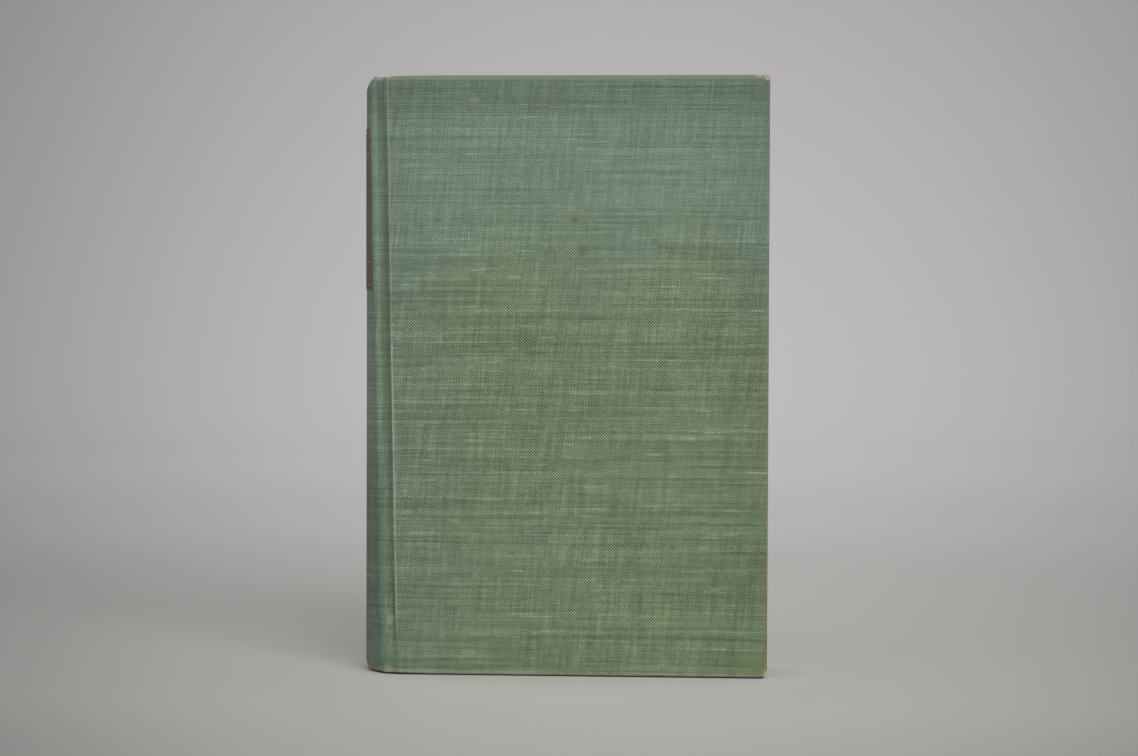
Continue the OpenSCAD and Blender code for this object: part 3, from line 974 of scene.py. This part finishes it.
yarn_finish, tip_h = frayed_yarn(), 14.6
corners = {
    "front_head": ("front_cover", -1, 1, 46, corner_high),
    "back_head": ("back_cover", 1, 1, 40, corner_high),
    "back_tail": ("back_cover", 1, 0, 34, corner_low),
}
for seed, (name, (body, sign, top, count, r)) in enumerate(corners.items()):
    low, way = (board_h - 0.1, -1) if top else (0.1, 1)

    def root(dice):
        a, inward = dice.uniform(-0.25, 1.1) * pi / 2, dice.uniform(0.05, 0.8)
        out = (r + 0.1 - inward) * sin(a), (r + 0.1 - inward) * cos(a)
        h = cover_h - dice.uniform(0.0, 1.6) - (0.4 if inward < 0.3 else 0)
        return fore_x - r + out[0] - 0.1, sign * h, low + way * (r - out[1])

    def heading(dice, start):
        away = Vector((start[0] - 64.5, sign * 0.4, start[2] - (board_h - 2.5 if top else 2.5)))
        return away.normalized() + Vector([dice.gauss(0, 0.45) for _ in range(3)])

    tuft(name + "_corner_yarns", body, count, root, heading, (0.35, 1.25), (0.75, 0.25), seed)
    blob = bmesh.new()
    bmesh.ops.create_icosphere(blob, subdivisions=4, radius=1.0)
    spots = []
    for v in blob.verts:
        bump = 1 + 0.22 * noise.noise(v.co * 2.3) + 0.12 * noise.noise(v.co * 6.0)
        x, h, z = v.co.x * bump * 0.66, v.co.y * bump, v.co.z * bump * 0.62
        spots.append((fore_x - r * 0.52 + x, sign * (tip_h + h), low + way * (r * 0.5 + z)))
    tip_faces = [tuple(v.index for v in f.verts) for f in blob.faces]
    blob.free()
    mesh_piece(name + "_board_tip", spots, tip_faces, board_finish, body, "board")


def along_head(dice):
    z = board_h - 0.35 - dice.uniform(0.05, 1.1)
    share = dice.uniform(-1.0, -0.45) * dice.choice((1, 1, -0.9))
    return *spine_point(z, -0.02, share), z


def along_tail(dice):
    z = 0.5 + dice.uniform(0.05, 0.9)
    return *spine_point(z, -0.02, dice.uniform(-0.8, 0.6)), z


def off_spine(dice, start):
    up = 0.5 if start[2] > 100 else 0.02
    return Vector((-0.5, start[1] * 0.05, up)) + Vector([dice.gauss(0, 0.35) for _ in range(3)])


tuft("head_yarns", "page_block", 60, along_head, off_spine, (0.25, 0.8), (0.8, 0.2), 11)
tuft("tail_yarns", "page_block", 44, along_tail, off_spine, (0.3, 0.9), (0.8, 0.2), 12)


# The spine label: thin dark leather pasted on the cloth, with a plain gilt rule round it, two cross
# rules and one small diamond between them. The gilding is rubbed away on the high threads.
label_half, label_low, label_high, label_t = 14.3, 127.0, 180.0, 0.2
label_middle = (label_low + label_high) / 2
rule_across, rule_up, cross_up = 12.3, 25.2, 17.5


def gilt_leather():
    made = Finish("gilt_leather", 0.5, 0.35)
    where, (x, y, z) = made.place()
    radius, centre, _ = arc_of(label_middle)
    angle = y.maths("ARCTAN2", centre - x)
    a, b = abs(angle * radius), abs(z - label_middle)
    grain = where.cloud(0.8, 3.0)
    worn = where.cloud(3.0, 3.0, 0.7)
    inside = a.fade(rule_across + 0.4, rule_across + 0.2) * b.fade(rule_up + 0.4, rule_up + 0.2)
    rule = abs(a - rule_across).maths("MINIMUM", abs(b - rule_up)).fade(0.32, 0.2) * inside
    cross = abs(b - cross_up).fade(0.28, 0.16) * a.fade(rule_across - 0.1, rule_across - 0.3)
    round_it = a * 0.9 + b
    gem = round_it.fade(3.1, 2.9) * round_it.fade(1.9, 2.1) + round_it.fade(0.9, 0.75)
    gilt = (rule + cross + gem).maths("MINIMUM", 1.0)
    gilt = gilt * worn.fade(0.62, 0.42)
    leather = grain.mix(paint(90, 87, 72), paint(114, 111, 94))
    leather = leather.tint(worn.fade(0.45, 0.8) * 0.6, 132, 130, 112)
    colour = leather.tint(gilt, 176, 150, 92)
    made.start.tree.links.new((gilt * 0.6).socket, made.sockets["Metallic"])
    return made.give(colour, grain - gilt * 0.3, 0.05, 0.7, gilt * -0.3 + 0.7)


heights = spread(label_low, label_high, 60)
sides_of_label = []
for depth in (-label_t, 0.0):
    grid = []
    for z in heights:
        reach = label_half / arc_of(z)[0] / arc_of(z)[2]
        grid.append([(*spine_point(z, depth, a), z) for a in spread(-reach, reach, 41)])
    sides_of_label.append(grid)
made_of = slab(*sides_of_label)
label = mesh_piece("spine_leather", *made_of, gilt_leather(), "page_block", "label")
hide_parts("spine_label")


# The endpapers: cream wove paper folded at the joint, one half pasted inside each board over the
# turned-in cloth and the gauze, the other free on the page block.
def wove_paper(name):
    made = Finish(name, 0.85, 0.25)
    where, (x, y, z) = made.place("paper") if "pasted" in name else made.place()
    fibre = where.cloud(0.6, 3.0, x=x, y=z, z=y * 0.01)
    cloud = where.cloud(60, 3.0, 0.55, x=x, y=z, z=2.0)
    rim = x.fade(50, 64) + z.fade(18, 3) + z.fade(176, 194) + x.fade(-46, -58)
    fox = where.cloud(4.0, 1.0, x=x, y=z, z=7.0).fade(0.7, 0.8)
    colour = cloud.fade(0.25, 0.75).mix(paint(231, 218, 189), paint(224, 209, 177))
    colour = colour.tint(rim.fade(0.0, 1.6) * 0.5, 204, 180, 138)
    colour = colour.tint(fox * 0.45, 176, 132, 82)
    return made.give(colour.dim(fibre * 0.1 + 0.95), fibre, 0.03)


flap_w, flex, climb_w, paper_w = 25.2, 1.7, 0.42, 118.7
free_h, flex_in, flex_out, paper_t = 12.3, 12.302, 12.318, 0.2
across = [-flex * (1 - i / 12) for i in range(12)] + [0.0, 0.2, climb_w, 0.8, 1.2, 1.6, 2.4, 4]
across += spread(6, 24.6, 14) + [flap_w, 25.6, 26, 26.6] + spread(29, 104, 36)
across += [105.6, 106.2, 106.8, 107.4, 109] + spread(111, paper_w, 5)
heights = [square, 6, 9, 12, 14, 15, 15.4, 15.8, 16.2, 17] + spread(20, 177, 64)
heights += [180, 181, 181.6, 182, 183, 185, 188, 191, board_h - square]
for side, sign in sides.items():
    inner, outer, marks = [], [], []
    for z in heights:
        rows_in, rows_out = [], []
        for d in across:
            share = max(0.0, d) / paper_w
            x = edge_x(z) + d + (fore_x - square - edge_x(z) - paper_w) * share
            inside = smooth(d, climb_w, 1.4) * smooth(fore_x - turn_in - x, 0.0, 1.0)
            inside *= smooth(z - turn_in, 0.0, 1.0) * smooth(board_h - turn_in - z, 0.0, 1.0)
            flap = smooth(flap_w + 0.8 - d, 0.0, 0.8)
            on = turn_h + inside * (board_in - turn_h - 0.25 * flap)
            marks.append((x, sign * on, z))
            under = on - paper_t
            if d <= climb_w:
                climb = smooth(d, 0.0, climb_w)
                on, under = flex_out + (on - flex_out) * climb, flex_in + (under - flex_in) * climb
            rows_out.append((x, sign * on, z))
            rows_in.append((x, sign * under, z))
        inner.append(rows_in)
        outer.append(rows_out)
    points, faces = slab(outer, inner)
    name = side + "_pasted_paper"
    paper = mesh_piece(name, points, faces, wove_paper(name), None, "endpaper", paper=marks * 2)
    bend(paper, side, free_h, flex)
    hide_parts(side + "_pastedown")
    leaf = nodes[side + "_free_endpaper"]
    leaf.data.materials[0] = wove_paper(side + "_free_paper")


# Stage: a pale grey sweep of paper under and behind the book, one large soft lamp at the front and
# an even sky. A broad pool of light, fitted to the photo's backdrop, widens towards the back. The
# lens of the camera is 85 mm long.
def sweep_paper():
    made = Finish("sweep_paper", 0.95, 0.1)
    where, (x, y, z) = made.place()
    far = where.node("VectorMath", {"operation": "LENGTH"}, {"Vector": where}, "Value")
    # The paper is lighter towards the wall: painted light, as the wall gets less light than the
    # floor.
    colour = far.fade(130, 1530).mix(paint(184, 183, 180), paint(223, 221, 222))
    wide = (y * 0.214 + 178).maths("MAXIMUM", 110.0)
    side = (x - 40) / wide
    loss = (side * side * 0.293 + side * 0.095) * y.fade(-900, -250)
    level = 1 - loss.maths("SMOOTH_MIN", 0.4, 0.25)
    # Painted light and shade: darker in front of the book and higher up the wall; lighter within
    # about 100 mm of the book, where its shadow falls, and on a faint ring 620 mm out.
    level = level * y.fade(-210, -60, 0.845, 1.0) * (1 - z * 0.00034)
    return made.give(colour.dim(level * (far.band(620, 250) * 0.04 + far.fade(100, 50) * 0.13 + 1)))


flat_r, bend_r, wall_top, ring_sides = 1500, 700, 1600, 96
rings = [(r, 0.0) for r in spread(0, flat_r, 6)]
rings += [(flat_r + bend_r * sin(a), bend_r * (1 - cos(a))) for a in spread(0, pi / 2, 17)[1:]]
rings += [(flat_r + bend_r, wall_top)]
turns = spread(0, tau, ring_sides + 1)[:-1]
points = [(r * cos(a), r * sin(a), z) for r, z in rings for a in turns]
sweep_faces = grid_faces(len(rings), ring_sides, closed=True)
sweep = mesh_piece("sweep", points, sweep_faces, sweep_paper())
sweep.visible_shadow = False

world = bpy.data.worlds.new("soft_sky")
scene.world = world
world.use_nodes = True
sky = world.node_tree.nodes["Background"].inputs
sky["Color"].default_value = (1.0, 1.0, 1.0, 1)
sky["Strength"].default_value = 0.93

light = bpy.data.lights.new("front_softbox", "AREA")
light.shape, light.size, light.energy = "SQUARE", 1.2, 23
softbox = bpy.data.objects.new("front_softbox", light)
scene.collection.objects.link(softbox)
softbox.location = (0.8, -1.6, 1.1)
softbox.rotation_mode = "QUATERNION"
softbox.rotation_quaternion = (Vector((0, 0, 0.1)) - softbox.location).to_track_quat("-Z", "Y")

yaw, pitch, roll = (radians(a) for a in (-3.493, -1.375, 0.22))
ahead = Vector((sin(yaw) * cos(pitch), cos(yaw) * cos(pitch), sin(pitch)))
level = Vector((cos(yaw), -sin(yaw), 0))
upward = level.cross(ahead)
right = level * cos(roll) + upward * sin(roll)
above = upward * cos(roll) - level * sin(roll)
camera_data = bpy.data.cameras.new("camera")
camera_data.lens, camera_data.sensor_width = 85.0, 36.0
camera_data.clip_start, camera_data.clip_end = 0.01, 20
camera = bpy.data.objects.new("camera", camera_data)
scene.collection.objects.link(camera)
turn = Matrix((right, above, -ahead)).transposed().to_4x4()
camera.matrix_world = Matrix.Translation((0.05541, -0.89388, 0.11914)) @ turn
scene.camera = camera
scene.view_settings.view_transform = "Standard"
